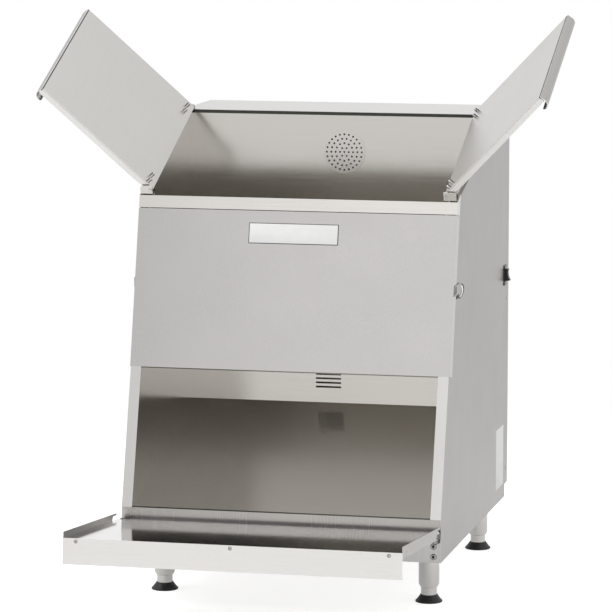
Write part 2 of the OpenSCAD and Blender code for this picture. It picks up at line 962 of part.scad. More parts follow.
module hinge_bracket_screws() {
    head_r = 4.8;
    head_t = 1.8;
    color(bright_steel) place() {
        for (side = [-1, 1], z = bracket_screw_z) {
            translate([side * bracket_screw_x, 0, z]) rotate([-90, 0, 0]) {
                translate([0, 0, -head_t]) cylinder(r = head_r, h = head_t);
                cylinder(r = bracket_screw_r, h = sheet_t + bracket_plate_t + bracket_screw_end);
            }
        }
    }
}

module door_hinge_pins() {
    head_r = 4;
    color(bright_steel) place() {
        for (flip = [false, true]) {
            mirrored(flip) {
                across_shape(bracket_in - 1.8, bracket_in)
                    translate([door_pivot_y, door_pivot_z]) circle(head_r);
                across_shape(bracket_in - 0.5, half_w + 0.4)
                    translate([door_pivot_y, door_pivot_z]) circle(door_pin_r);
            }
        }
    }
}

// Door

// Ears riveted inside the pan that turn on the hinge pins
module door_hinge_ears() {
    ear_len = 40;
    color(steel) place() {
        for (flip = [false, true]) {
            mirrored(flip) on_door() difference() {
                union() {
                    across_shape(ear_in, ear_out) circle(hinge_head_r);
                    box([ear_in, -ear_len, door_low_w + door_sheet],
                        [ear_out, 0, door_face_w - door_sheet]);
                }
                across_shape(ear_in - 1, ear_out + 1) circle(door_pin_r + pin_gap);
            }
        }
    }
}

strip_s = door_s1 - sheet_t;

module door_inner_panel() {
    color(bright_steel) place() on_door()
        box([-door_x, -strip_s, door_face_w - door_sheet], [door_x, -door_s0, door_face_w]);
}

// Lower skin of the door with its turned-up rear wall
module door_outer_panel() {
    notch = 0.3;
    color(steel) place() on_door() difference() {
        union() {
            box([-door_x, -strip_s, door_low_w], [door_x, -door_s0, door_low_w + door_sheet]);
            box([-door_x, -door_s0 - door_sheet, door_low_w],
                [door_x, -door_s0, door_face_w - door_sheet]);
        }
        for (flip = [false, true]) {
            mirrored(flip)
                box([ear_in - notch, -door_s0 - door_sheet - 1, door_low_w + door_sheet],
                    [ear_out + notch, -door_s0 + 1, door_face_w]);
        }
    }
}

// Strip across the door's free edge, with a hem to grip
module door_handle_strip() {
    hem = 9;
    color(bright_steel) place() on_door() {
        box([-door_out_x, -door_s1, handle_low_w], [door_out_x, -strip_s, door_face_w]);
        box([-door_out_x, -door_s1, handle_low_w],
            [door_out_x, -door_s1 + hem, handle_low_w + sheet_t]);
    }
}

// Side flanges, cut back at the rear so that the hinge slots stay clear
flange_nose_s = 11.3;
flange_nose_h = 4;
flange_cut_s = [36, 44];

module door_side_flanges() {
    top = door_face_w + door_lip;
    color(bright_steel) place() on_door() {
        for (flip = [false, true]) {
            mirrored(flip)
                across(door_x, door_out_x, [
                    [-flange_nose_s, top],
                    [-strip_s, top],
                    [-strip_s, door_low_w],
                    [-flange_cut_s[1], door_low_w],
                    [-flange_cut_s[0], top - flange_nose_h - 3],
                    [-flange_cut_s[0] + 4, top - flange_nose_h],
                    [-flange_nose_s, top - flange_nose_h]
                ]);
        }
    }
}

module door_core() {
    color(wool) place() on_door()
        box([-ear_in + 1, -strip_s, door_low_w + door_sheet],
            [ear_in - 1, -42, door_face_w - door_sheet]);
}

// Lids
lid_edge_u = lid_w - 2;
lid_bend_u = 32;
lid_nose = 2.5;
lid_seam = 1.6;
lid_seam_t = 4;
lid_inner_w = lid_edge_u - lid_seam;
lid_skirt = 2;
lid_skirt_u = 8;
lid_slot = [10, 3.6];
lid_slot_u = 8.5;
lid_slot_front_a = [21, 41];
lid_slot_rear_a = [30.5, 8.5];
lip_t = 1.2;

// Places a child drawn in lid coordinates: from the hinge edge, along, outward
module on_lid(flip) {
    mirrored(!flip)
        on_hinge_line()
            translate([-liner_x, 0, 0])
                rotate([0, -lid_open, 0])
                    translate([-lid_pivot_u, 0, -lid_pivot_t])
                        children();
}

// Draws a U-T outline along the hinge line from a0 to a1
module lid_section(a0, a1) {
    translate([0, a1, 0])
        rotate([90, 0, 0])
            linear_extrude(height = a1 - a0)
                children();
}

// Inner face with a skirt folded down at the front end and slots at the hinge
module lid_inner(flip) {
    color(bright_steel) place() on_lid(flip) difference() {
        union() {
            box([1, 0, 0], [lid_inner_w, lid_len, lid_sheet]);
            box([lid_skirt_u, 0, -lid_skirt], [lid_inner_w, sheet_t, lid_sheet]);
        }
        for (end = [[-1, sheet_t], [lid_len - sheet_t, lid_len + 1]]) {
            box([-1, end[0], -1], [lid_skirt_u, end[1], lid_sheet + 1]);
        }
        for (a = [lid_slot_front_a[0], lid_slot_front_a[1],
                  lid_len - lid_slot_rear_a[0], lid_len - lid_slot_rear_a[1]]) {
            box([lid_slot_u, a - lid_slot[1] / 2, -1],
                [lid_slot_u + lid_slot[0], a + lid_slot[1] / 2, lid_sheet + 1]);
        }
    }
}

lid_hinge_side = [[0, 1], [0, 4.6], [1.6, 7], [lid_bend_u, lid_t]];
lid_shell_outer = concat(lid_hinge_side, [
    [lid_edge_u - lid_nose, lid_t], [lid_edge_u, lid_t - lid_nose], [lid_edge_u, lid_seam_t]
]);
lid_shell_inner = [
    [lid_edge_u - lid_sheet, lid_seam_t],
    [lid_edge_u - lid_sheet, lid_t - lid_nose - 0.37],
    [lid_edge_u - lid_nose - 0.37, lid_t - lid_sheet],
    [lid_bend_u + 0.1, lid_t - lid_sheet],
    [2.1, 6.18], [0.9, 4.35], [0.9, 1]
];

// Outer shell with end plates and a rounded lobe round each pivot hole
module lid_outer(flip) {
    plate = concat(lid_hinge_side, [
        [lid_edge_u - lid_nose, lid_t], [lid_edge_u, lid_t - lid_nose],
        [lid_edge_u, lid_seam_t], [lid_inner_w, lid_seam_t],
        [lid_inner_w, lid_sheet], [lid_skirt_u, lid_sheet], [lid_skirt_u, 1]
    ]);
    color(steel) place() on_lid(flip) difference() {
        union() {
            lid_section(0, lid_len) polygon(concat(lid_shell_outer, lid_shell_inner));
            for (a = [0, lid_len - sheet_t]) {
                lid_section(a, a + sheet_t) {
                    polygon(plate);
                    translate([lid_pivot_u, lid_pivot_t]) circle(lid_lobe_r);
                }
            }
        }
        lid_section(-1, lid_len + 1)
            translate([lid_pivot_u, lid_pivot_t]) circle(lid_pin_r + pin_gap);
        for (end = [[sheet_t, 6], [lid_len - 6, lid_len - sheet_t]]) {
            lid_section(end[0], end[1])
                translate([lid_pivot_u, lid_pivot_t]) circle(lid_pin_r + 0.4);
        }
    }
}

// Lip along the free edge, bent over and curled as a finger grip
lip_path = [
    [0, 0], [0.3, 6], [0.8, 10.5], [0.3, 14.5], [-1.5, 17.7], [-4.2, 20.2],
    [-7.4, 21.7], [-10.5, 22.2], [-13, 21.6], [-14.3, 20], [-14.4, 18]
];

module lid_handle(flip) {
    seat_u = lid_edge_u + lip_t / 2;
    color(bright_steel) place() on_lid(flip)
        lid_section(0, lid_len)
            folded_strip([for (p = lip_path) [seat_u + p[0], p[1]]], lip_t);
}

module lid_core(flip) {
    start_u = lid_slot_u + lid_slot[0] + 4;
    rise = (lid_t - 7) / (lid_bend_u - 1.6);
    top_t = lid_t - lid_sheet;
    end_u = lid_edge_u - lid_sheet - 0.1;
    color(wool) place() on_lid(flip)
        lid_section(7, lid_len - 7)
            polygon([
                [start_u, lid_sheet], [start_u, 6 + (start_u - 1.6) * rise],
                [lid_bend_u + 0.5, top_t], [end_u - lid_nose - 0.3, top_t],
                [end_u, lid_t - lid_nose - 0.5], [end_u, lid_seam_t],
                [lid_inner_w - 1, lid_seam_t], [lid_inner_w - 1, lid_sheet]
            ]);
}

module lid_inner_left() {
    lid_inner(true);
}

module lid_outer_left() {
    lid_outer(true);
}

module lid_handle_left() {
    lid_handle(true);
}

module lid_core_left() {
    lid_core(true);
}

module lid_inner_right() {
    lid_inner(false);
}

module lid_outer_right() {
    lid_outer(false);
}

module lid_handle_right() {
    lid_handle(false);
}

module lid_core_right() {
    lid_core(false);
}

// Legs
leg_plate = 76;
leg_plate_t = 3;
leg_shoulder_z = 33;
leg_mouth_z = 27;
stem_low_z = 6;
pad_h = 13.4;
pad_neck_r = 15.8;
stem_top_z = 58;

// Leg tube with its mounting plate, closed above the foot's bore
module leg(x, y) {
    plate_low = floor_plate_z - leg_plate_t;
    mouth_r = stem_r + 1.3;
    color(steel) place() translate([x, y, 0]) difference() {
        union() {
            box([-leg_plate / 2 + 8, -leg_plate / 2 + 8, plate_low],
                [leg_plate / 2 - 8, leg_plate / 2 - 8, floor_plate_z]);
            translate([0, 0, leg_shoulder_z])
                cylinder(r = leg_r, h = plate_low - leg_shoulder_z + 1);
            translate([0, 0, leg_mouth_z])
                cylinder(r1 = mouth_r, r2 = leg_r, h = leg_shoulder_z - leg_mouth_z);
        }
        translate([0, 0, leg_mouth_z - 1])
            cylinder(r = stem_r + pin_gap, h = stem_top_z + 2 - leg_mouth_z);
    }
}

module foot_stem(x, y) {
    color(bright_steel) place() translate([x, y, stem_low_z])
        cylinder(r = stem_r, h = stem_top_z - stem_low_z);
}

module foot_pad(x, y) {
    color(dark_rubber) place() translate([x, y, 0])
        rotate_extrude($fn = 72)
            polygon([
                [0, 0], [pad_r - 0.8, 0], [pad_r, 0.8], [pad_r, 2.4],
                [pad_r - 2.6, 5], [pad_neck_r, pad_h - 1], [pad_neck_r, pad_h],
                [stem_r, pad_h], [stem_r, stem_low_z], [0, stem_low_z]
            ]);
}

module leg_front_left() {
    leg(-leg_x, leg_front_y);
}

module leg_front_right() {
    leg(leg_x, leg_front_y);
}

module leg_rear_left() {
    leg(-leg_x, leg_rear_y);
}

module leg_rear_right() {
    leg(leg_x, leg_rear_y);
}

module foot_stem_front_left() {
    foot_stem(-leg_x, leg_front_y);
}

module foot_stem_front_right() {
    foot_stem(leg_x, leg_front_y);
}

module foot_stem_rear_left() {
    foot_stem(-leg_x, leg_rear_y);
}

module foot_stem_rear_right() {
    foot_stem(leg_x, leg_rear_y);
}

module foot_pad_front_left() {
    foot_pad(-leg_x, leg_front_y);
}

module foot_pad_front_right() {
    foot_pad(leg_x, leg_front_y);
}

module foot_pad_rear_left() {
    foot_pad(-leg_x, leg_rear_y);
}

module foot_pad_rear_right() {
    foot_pad(leg_x, leg_rear_y);
}

side_panel_left();
side_panel_right();
base_front_plate();
bottom_panel();
front_panel();
front_rail();
front_liner();
hopper_liner_left();
hopper_liner_right();
hopper_back();
hopper_floor();
top_rear_panel();
back_panel();
rear_cover();
mouth_rail_left();
mouth_rail_right();
lid_pivot_screws();
front_insulation();
side_insulation();
fan_grille();
blower_housing();
air_duct();
heater_element();
fan_motor();
fan_wheel();
motor_shaft();
thermostat();
terminal_box();
switch_housing();
switch_rocker();
side_clips();
hinge_brackets();
hinge_bracket_screws();
door_hinge_pins();
door_inner_panel();
door_outer_panel();
door_handle_strip();
door_side_flanges();
door_core();
door_hinge_ears();
lid_inner_left();
lid_outer_left();
lid_handle_left();
lid_core_left();
lid_inner_right();
lid_outer_right();
lid_handle_right();
lid_core_right();
leg_front_left();
leg_front_right();
leg_rear_left();
leg_rear_right();
foot_stem_front_left();
foot_stem_front_right();
foot_stem_rear_left();
foot_stem_rear_right();
foot_pad_front_left();
foot_pad_front_right();
foot_pad_rear_left();
foot_pad_rear_right();
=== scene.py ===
# %% [markdown]
# # A countertop chip warmer
# The cabinet, its lids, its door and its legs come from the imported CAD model. This
# notebook dresses them: bent edges, rivets, screw heads, bare plates, metal finishes,
# light and camera. The frame is loaded first, because every later piece rides on it.

# %% Load the frame
import json
import math

import bmesh
import bpy
from mathutils import Matrix, Vector
from mathutils.bvhtree import BVHTree


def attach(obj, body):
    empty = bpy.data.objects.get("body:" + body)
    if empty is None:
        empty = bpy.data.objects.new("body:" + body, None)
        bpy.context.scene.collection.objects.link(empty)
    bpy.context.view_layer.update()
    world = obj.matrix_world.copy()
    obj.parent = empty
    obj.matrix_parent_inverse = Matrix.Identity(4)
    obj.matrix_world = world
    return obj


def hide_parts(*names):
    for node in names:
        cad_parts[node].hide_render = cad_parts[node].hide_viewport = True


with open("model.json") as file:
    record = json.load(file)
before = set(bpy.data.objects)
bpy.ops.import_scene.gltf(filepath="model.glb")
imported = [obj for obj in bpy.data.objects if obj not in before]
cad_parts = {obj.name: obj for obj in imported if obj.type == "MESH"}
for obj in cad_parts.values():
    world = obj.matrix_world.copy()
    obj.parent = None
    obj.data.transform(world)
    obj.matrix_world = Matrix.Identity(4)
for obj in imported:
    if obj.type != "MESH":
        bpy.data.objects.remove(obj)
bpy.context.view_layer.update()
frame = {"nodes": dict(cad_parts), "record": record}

body_of_node = {node: body for body, nodes in frame["record"]["behaviour"]["bodies"].items()
                for node in nodes}

# %% [markdown]
# ## Colours and nodes
# Paint charts and photographs give colours as sRGB hex values, but the shader works in
# linear light. One function does that step. A second one adds a shader node with its
# settings and its links, so that each finish below reads as a short list.

# %% Colour and node helpers
def colour(hex_value):
    """An sRGB hex value as linear red, green and blue, with an alpha of one."""
    parts = [int(hex_value[i:i + 2], 16) / 255 for i in (1, 3, 5)]
    linear = [p / 12.92 if p <= 0.04045 else ((p + 0.055) / 1.055) ** 2.4 for p in parts]
    return (*linear, 1.0)


def add_node(tree, kind, settings=None, **inputs):
    """A node of that kind; an input is a value, or an output socket to link.

    An input is given by its name, or by its number as i0, i1 and so on."""
    node = tree.nodes.new(kind)
    for name, value in (settings or {}).items():
        setattr(node, name, value)
    for name, value in inputs.items():
        numbered = name[0] == "i" and name[1:].isdigit()
        socket = node.inputs[int(name[1:]) if numbered else name.replace("_", " ")]
        if isinstance(value, bpy.types.NodeSocket):
            tree.links.new(value, socket)
        else:
            socket.default_value = value
    return node


def blank_material(name):
    """A material with an empty tree, its Principled shader and its output."""
    made = bpy.data.materials.new(name)
    made.use_nodes = True
    made.node_tree.nodes.clear()
    shader = made.node_tree.nodes.new("ShaderNodeBsdfPrincipled")
    output = made.node_tree.nodes.new("ShaderNodeOutputMaterial")
    made.node_tree.links.new(shader.outputs["BSDF"], output.inputs["Surface"])
    return made, made.node_tree, shader


print("white as linear", colour("#ffffff")[:3])

# %% [markdown]
# ## Brushed stainless steel
# Such cabinets are usually 304 stainless sheet, belt-ground with 180 grit to the dull,
# even finish called number 4. The belt leaves fine straight lines, so the eye sees a
# soft stretched gleam, a slight streakiness and no sharp mirror image. Real lines are
# about 0.1 mm apart, so they are drawn 0.6 to 1 mm apart and faint, and from a step
# away they melt into an even sheen. The lines are noise stretched along the grain; the
# same noise moves colour, roughness and bump together, as a deeper scratch is both
# darker and rougher.

# %% Brushed stainless
MM = 0.001
LINE_RUN_MM = 140                  # how far one ground line runs
PATCHES_PER_M, PATCH_SHARE = 9.0, 0.35
DARKER, LIGHTER = 2.4, 1.2         # a groove darkens more than a ridge brightens
GROOVE, RIDGE = 0.45, 0.92         # the noise levels of a groove and of a ridge
DULLEST, SHINIEST = 0.4, 0.95      # the noise levels where the gleam stops changing
DULLER, SHINIER = 0.05, 0.03
SCRATCH_MM, SCRATCH_STRENGTH = 0.05, 0.05


def stainless(name, hex_value, roughness, grain="Z", tilt=0.0, line_mm=0.7, streak=0.02):
    """Ground sheet with its lines along X, Y or Z, after turning by tilt about X."""
    made, tree, shader = blank_material(name)
    across, along = 1 / (line_mm * MM), 1 / (LINE_RUN_MM * MM)
    scale = [along if axis == grain else across for axis in "XYZ"]
    place = add_node(tree, "ShaderNodeTexCoord")
    turned = add_node(tree, "ShaderNodeMapping", Vector=place.outputs["Object"],
                      Rotation=(-math.radians(tilt), 0, 0))
    stretched = add_node(tree, "ShaderNodeMapping", Vector=turned.outputs["Vector"],
                         Scale=tuple(scale))
    lines = add_node(tree, "ShaderNodeTexNoise", Vector=stretched.outputs["Vector"],
                     Scale=1.0, Detail=3.0, Roughness=0.6)
    clouds = add_node(tree, "ShaderNodeTexNoise", Vector=place.outputs["Object"],
                      Scale=PATCHES_PER_M, Detail=2.0, Roughness=0.5)
    mixed = add_node(tree, "ShaderNodeMath", {"operation": "MULTIPLY_ADD"},
                     i0=clouds.outputs["Fac"], i1=PATCH_SHARE, i2=lines.outputs["Fac"])
    bright = colour(hex_value)
    dark = tuple(c * (1 - DARKER * streak) for c in bright[:3]) + (1.0,)
    light = tuple(min(1.0, c * (1 + LIGHTER * streak)) for c in bright[:3]) + (1.0,)
    tint = add_node(tree, "ShaderNodeValToRGB", Fac=mixed.outputs["Value"])
    tint.color_ramp.elements[0].position = GROOVE
    tint.color_ramp.elements[0].color = dark
    tint.color_ramp.elements[1].position = RIDGE
    tint.color_ramp.elements[1].color = light
    dull = add_node(tree, "ShaderNodeMapRange", Value=mixed.outputs["Value"],
                    i1=DULLEST, i2=SHINIEST, i3=roughness + DULLER, i4=roughness - SHINIER)
    relief = add_node(tree, "ShaderNodeBump", Strength=SCRATCH_STRENGTH,
                      Distance=SCRATCH_MM * MM, Height=lines.outputs["Fac"])
    tree.links.new(tint.outputs["Color"], shader.inputs["Base Color"])
    tree.links.new(dull.outputs["Result"], shader.inputs["Roughness"])
    tree.links.new(relief.outputs["Normal"], shader.inputs["Normal"])
    shader.inputs["Metallic"].default_value = 1.0
    return made


LID_SLOPE = 22.73     # degrees that the mouth and the lids' hinges fall to the front
DOOR_TILT = 5.227     # degrees between the open door and level
# The steel is one sheet, and its tones differ as painted light and shade: the side is a darker
# copy of the front's steel (painted shade), the flange is a shaded copy, and the level top,
# the lids, the rail and the front-turned bent edges are lighter copies (painted light).
steel_face = stainless("stainless_no4_upright", "#B5B3B1", 0.24, "Z")
side_steel_painted_shade = stainless("stainless_no4_painted_shade_side", "#9F9D9B", 0.34, "Z")
flat_steel_painted_light = stainless("stainless_no4_painted_light_level", "#D2D1CE", 0.30, "X")
lid_steel_painted_light = stainless("stainless_no4_lid", "#CFCDCA", 0.30, "Y", LID_SLOPE)
steel_inside = stainless("stainless_2b_liner", "#C8C5C0", 0.16, "X", 0, 0.9, 0.012)
rail_steel_painted_light = stainless("stainless_no4_painted_light_rail", "#CCC9C5", 0.24, "X")
fold_steel_painted_light = stainless("stainless_no4_painted_light_fold", "#C4C2C0", 0.24, "Z")
flange_steel_painted_shade = stainless("stainless_no4_painted_shade_flange", "#B4B2AF", 0.4, "Z")
print("steel finishes", [m.name for m in bpy.data.materials if m.name.startswith("stainless")])

# %% [markdown]
# ## The other finishes
# The door's inner face is the same steel buffed bright, so it mirrors what is above it.
# The feet have moulded rubber pads, black and slightly dusty. The switch is moulded
# ABS, glossy with a faint moulding texture. The rest is seen only through openings:
# mineral wool, painted steel on the motor, cast aluminium on the fan and oxidised heater
# rods. Small pieces add enamel, polyester film and silicone, and a grey strip and dark
# plates that are painted shadow and shade. All of these are even at first sight, so each
# gets a fine grain of a real size and broad patches that keep it alive.

# %% Buffed steel, painted light on the steel, plated screws and aluminium
steel_mirror = stainless("stainless_buffed_door", "#DAD8D4", 0.08, "X", -DOOR_TILT, 0.9, 0.01)
# painted light: the door strip is a lighter copy of the steel, and the bright edge tone is a
# painted highlight, which on the door flanges' inward sides stands for a painted reflection
bar_steel_painted_light = stainless("stainless_no4_painted_light_door_strip", "#E4E2DF", 0.24, "X")
steel_painted_highlight = stainless("stainless_painted_highlight", "#F0EFED", 0.34, "Y")
lid_fold_steel_painted_light = stainless("stainless_painted_light_lid_fold", "#DCDBD8", 0.34, "Y")
steel_tube = stainless("stainless_leg_tube", "#CBC9C5", 0.13, "Z", 0, 0.8, 0.05)
steel_screw = stainless("plated_screw_steel", "#C8C6C2", 0.22, "Z", 0, 0.6, 0.05)
# painted shade: the hinge brackets are made darker than their steel because they sit in shade
# behind the base plate's slot
bracket_painted_shade = stainless("bracket_steel_painted_shade", "#84827F", 0.4, "Z", 0, 0.8, 0.05)
steel_heater = stainless("oxidised_heater_steel", "#7C6F62", 0.5, "X", 0, 1.0, 0.1)
aluminium_fan = stainless("cast_aluminium_fan", "#C9CBCD", 0.42, "Z", 0, 1.0, 0.06)
print("metal finishes", len(bpy.data.materials))

# %% Moulded, painted and fibrous finishes
GRAINS_PER_PATCH, GRAIN_PATCH_SHARE = 18, 0.5
DULL_SPOT, SHINY_SPOT, GRAIN_STRENGTH = 0.08, 0.05, 0.4
PIT, CREST = 0.5, 1.0              # the noise levels of the low and the high colour
SHINIEST_GRAIN, DULLEST_GRAIN = 0.4, 1.1


def grained(name, hex_low, hex_high, size_mm, roughness, bump_mm):
    """A moulded, painted or fibrous finish whose grain has a real size."""
    made, tree, shader = blank_material(name)
    place = add_node(tree, "ShaderNodeTexCoord")
    grain = add_node(tree, "ShaderNodeTexNoise", Vector=place.outputs["Object"],
                     Scale=1 / (size_mm * MM), Detail=4.0, Roughness=0.6)
    patches = add_node(tree, "ShaderNodeTexNoise", Vector=place.outputs["Object"],
                       Scale=1 / (GRAINS_PER_PATCH * size_mm * MM), Detail=2.0)
    both = add_node(tree, "ShaderNodeMath", {"operation": "MULTIPLY_ADD"},
                    i0=patches.outputs["Fac"], i1=GRAIN_PATCH_SHARE,
                    i2=grain.outputs["Fac"])
    tint = add_node(tree, "ShaderNodeValToRGB", Fac=both.outputs["Value"])
    tint.color_ramp.elements[0].position = PIT
    tint.color_ramp.elements[0].color = colour(hex_low)
    tint.color_ramp.elements[1].position = CREST
    tint.color_ramp.elements[1].color = colour(hex_high)
    dull = add_node(tree, "ShaderNodeMapRange", Value=both.outputs["Value"],
                    i1=SHINIEST_GRAIN, i2=DULLEST_GRAIN,
                    i3=roughness - SHINY_SPOT, i4=roughness + DULL_SPOT)
    relief = add_node(tree, "ShaderNodeBump", Strength=GRAIN_STRENGTH,
                      Distance=bump_mm * MM, Height=grain.outputs["Fac"])
    tree.links.new(tint.outputs["Color"], shader.inputs["Base Color"])
    tree.links.new(dull.outputs["Result"], shader.inputs["Roughness"])
    tree.links.new(relief.outputs["Normal"], shader.inputs["Normal"])
    return made


rubber = grained("moulded_rubber_pad", "#060606", "#121213", 0.8, 0.42, 0.06)
abs_black = grained("moulded_abs_switch", "#08080A", "#141416", 0.5, 0.28, 0.02)
nylon_box = grained("moulded_nylon_box", "#101011", "#1D1D1E", 0.7, 0.5, 0.04)
motor_paint = grained("motor_enamel", "#232427", "#34363A", 0.9, 0.42, 0.03)
mineral_wool = grained("mineral_wool", "#9C8A55", "#D8C894", 1.6, 0.9, 0.6)
plate_white = grained("bare_enamel_plate", "#E9E9E8", "#F2F2F1", 0.9, 0.4, 0.01)
label_film = grained("bare_polyester_label", "#E2E2E1", "#ECECEB", 1.2, 0.6, 0.01)
seal_grey = grained("silicone_seal", "#2C2C2E", "#3A3A3C", 0.8, 0.6, 0.03)
# painted shadow of the opening under the flat top
painted_gap_shade = grained("painted_shadow_strip", "#54574F", "#64675E", 0.8, 0.7, 0.05)
# painted shade and shadow: the ring round a head's foot, the pit and the recess, the strips
# behind the hooks and the plates at the clips stand in for shade; only the recess also holds
# some grime
painted_shade_dark = grained("painted_shade_and_recess_grime", "#1E1E1F", "#2C2C2D", 0.3, 0.6, 0.01)
border_ink = grained("plate_border_enamel", "#3E3E40", "#4C4C4E", 0.6, 0.4, 0.01)
print("finishes", len(bpy.data.materials))

# %% [markdown]
# ## Which finish each node wears
# Uprights have their grain up and down, as it shows beside the name plate; flat pieces
# have it across. Pieces that are alike take their finish by name or by the end of their
# name, and the rest are listed. Every node that no rule names has the side's finish, a
# darker copy of the steel that is painted shade.

# %% Finish by node
finish_of = {node: side_steel_painted_shade for node in frame["nodes"]}
alike = [
    (steel_face, ("front_panel", "base_front_plate")),
    (flat_steel_painted_light, ("top_rear_panel", "bottom_panel")),
    (rail_steel_painted_light, ("front_rail", "mouth_rail_left", "mouth_rail_right", "fan_grille",
                  "door_hinge_ears")),
    (steel_inside, ("hopper_liner_left", "hopper_liner_right", "hopper_back",
                    "hopper_floor", "front_liner")),
]
for finish, nodes in alike:
    finish_of.update({node: finish for node in nodes})
for node in frame["nodes"]:
    # the lids take a lighter tone as painted light, and the handles the bright tone as a
    # painted highlight
    if node.startswith("lid_") and "core" not in node and "screws" not in node:
        finish_of[node] = lid_steel_painted_light
    if node.startswith("lid_handle"):
        finish_of[node] = steel_painted_highlight
    if node.startswith(("leg_", "foot_stem")):
        finish_of[node] = steel_tube
    if node.startswith("foot_pad"):
        finish_of[node] = rubber
    if node.endswith(("screws", "pins", "shaft")):
        finish_of[node] = steel_screw
    if "insulation" in node or "core" in node:
        finish_of[node] = mineral_wool
finish_of.update({
    "door_inner_panel": steel_mirror, "door_handle_strip": bar_steel_painted_light,
    "door_side_flanges": flange_steel_painted_shade, "hinge_brackets": bracket_painted_shade,
    "switch_housing": abs_black, "switch_rocker": abs_black,
    "terminal_box": nylon_box, "fan_motor": motor_paint, "thermostat": motor_paint,
    "heater_element": steel_heater, "fan_wheel": aluminium_fan,
})
for node, made in frame["nodes"].items():
    made.data.materials.clear()
    made.data.materials.append(finish_of[node])
print("nodes dressed", len(finish_of))

# %% [markdown]
# ## Places on the cabinet and on the lids
# Small pieces are placed in millimetres, measured from the cabinet's front foot line.
# On a lid it is simpler to measure across from the hinge, along the hinge from its
# front end, and into the lid from its inner face. So a place outside that face is
# negative in the third direction. A matrix turns the three into the frame's own
# directions.

# %% Two ways to give a place
DEPTH_SHIFT = 160.026     # from the cabinet's front foot line to the frame's origin


def at(x_mm, y_mm, z_mm):
    """A point given in millimetres from the cabinet's front foot line, in metres."""
    return Vector((x_mm, y_mm - DEPTH_SHIFT, z_mm)) * MM


LID_OPEN = 132.4
HINGE_X, HINGE_Y, HINGE_Z = 269.5, 137.28, 724.9     # front end of a lid's hinge
PIVOT_ACROSS, PIVOT_OUT = 3.17, 3.47                 # from the lid's corner to its pivot


def lid_place(side):
    """A matrix from lid coordinates in metres to the frame; side is -1 or 1."""
    hinge = (Matrix.Translation(at(0, HINGE_Y, HINGE_Z))
             @ Matrix.Rotation(math.radians(LID_SLOPE), 4, "X")
             @ Matrix.Translation(Vector((-HINGE_X * MM, 0, 0)))
             @ Matrix.Rotation(-math.radians(LID_OPEN), 4, "Y")
             @ Matrix.Translation(Vector((-PIVOT_ACROSS, 0, -PIVOT_OUT)) * MM))
    return Matrix.Diagonal((-1 if side > 0 else 1, 1, 1, 1)) @ hinge


print("lid corner", [round(v, 3) for v in lid_place(-1) @ Vector((0.27, 0, 0))])

# %% [markdown]
# ## Bent and dressed edges
# Sheet is folded on a press brake, and cut edges are dressed with a file, so no edge of
# the real cabinet is razor sharp: each one shows a thin bright or dark line. The CAD
# solids have sharp edges. A copy of each outer node gets a small bevel along those
# edges and stands for the node. A bevel shader would only fake this in a picture, while
# the modifier gives the mesh itself a rounded edge, which an export keeps.

# %% Which faces take a painted tone
def faces_front(polygon):
    """The narrow faces that turn to the front, which take a lighter painted tone."""
    return polygon.normal.y < -0.5


def faces_outward(polygon):
    """The face of a lid's handle strip that is turned away from the hinge."""
    side = 1 if polygon.center.x > 0 else -1
    return (lid_place(side).inverted().to_3x3() @ polygon.normal).x > 0.5


def faces_inward(polygon):
    """The sides of the door's two flanges that look at each other."""
    return polygon.normal.x * math.copysign(1.0, polygon.center.x) < -0.5


print("fold rules", [rule.__name__ for rule in (faces_front, faces_outward, faces_inward)])

# %% Softened copies of the outer nodes
MERGE_MM, FLAT_DEGREES = 0.002, 0.5      # joins the CAD mesh's facets into whole faces
BEVEL_STEPS, SHARP_DEGREES = 2, 30


def softened(node, edge_mm, painted_tones=()):
    """A copy of a node's mesh with bevelled edges; chosen faces take a lighter or darker
    painted tone of the steel.
    """
    source = frame["nodes"][node].data
    mesh = bpy.data.meshes.new(node + "_dressed")
    mesh.from_pydata([v.co for v in source.vertices], [],
                     [list(p.vertices) for p in source.polygons])
    piece = bpy.data.objects.new(node + "_dressed", mesh)
    bpy.context.scene.collection.objects.link(piece)
    shape = bmesh.new()
    shape.from_mesh(mesh)
    bmesh.ops.remove_doubles(shape, verts=shape.verts, dist=MERGE_MM * MM)
    bmesh.ops.dissolve_limit(shape, angle_limit=math.radians(FLAT_DEGREES),
                             verts=shape.verts, edges=shape.edges)
    shape.to_mesh(mesh)
    shape.free()
    for polygon in mesh.polygons:
        polygon.use_smooth = True
    mesh.update()
    bevel = piece.modifiers.new("folded edge", "BEVEL")
    bevel.width = edge_mm * MM
    bevel.segments = BEVEL_STEPS
    bevel.limit_method = "ANGLE"
    bevel.angle_limit = math.radians(SHARP_DEGREES)
    bevel.harden_normals = True
    bevel.use_clamp_overlap = True
    mesh.materials.append(finish_of[node])
    for fold, chosen in painted_tones:
        mesh.materials.append(fold)
        for polygon in mesh.polygons:
            if chosen(polygon):
                polygon.material_index = len(mesh.materials) - 1
    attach(piece, body_of_node[node])
    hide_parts(node)
    return piece


# the width of each node's bevel in millimetres
edges = {
    "side_panel_left": 0.5, "side_panel_right": 0.5, "base_front_plate": 0.4,
    "front_panel": 0.5, "front_rail": 0.5, "top_rear_panel": 0.4, "rear_cover": 0.5,
    "mouth_rail_left": 0.5, "mouth_rail_right": 0.5, "side_clips": 0.5,
    "lid_inner_left": 0.3, "lid_inner_right": 0.3, "lid_outer_left": 0.35,
    "lid_outer_right": 0.35, "lid_handle_left": 0.2, "lid_handle_right": 0.2,
    "door_handle_strip": 0.5, "door_side_flanges": 0.5,
    "door_inner_panel": 0.4, "door_outer_panel": 0.4, "hinge_brackets": 0.4,
    "leg_front_left": 0.8, "leg_front_right": 0.8, "leg_rear_left": 0.8,
    "leg_rear_right": 0.8, "switch_housing": 0.6, "switch_rocker": 0.4,
}
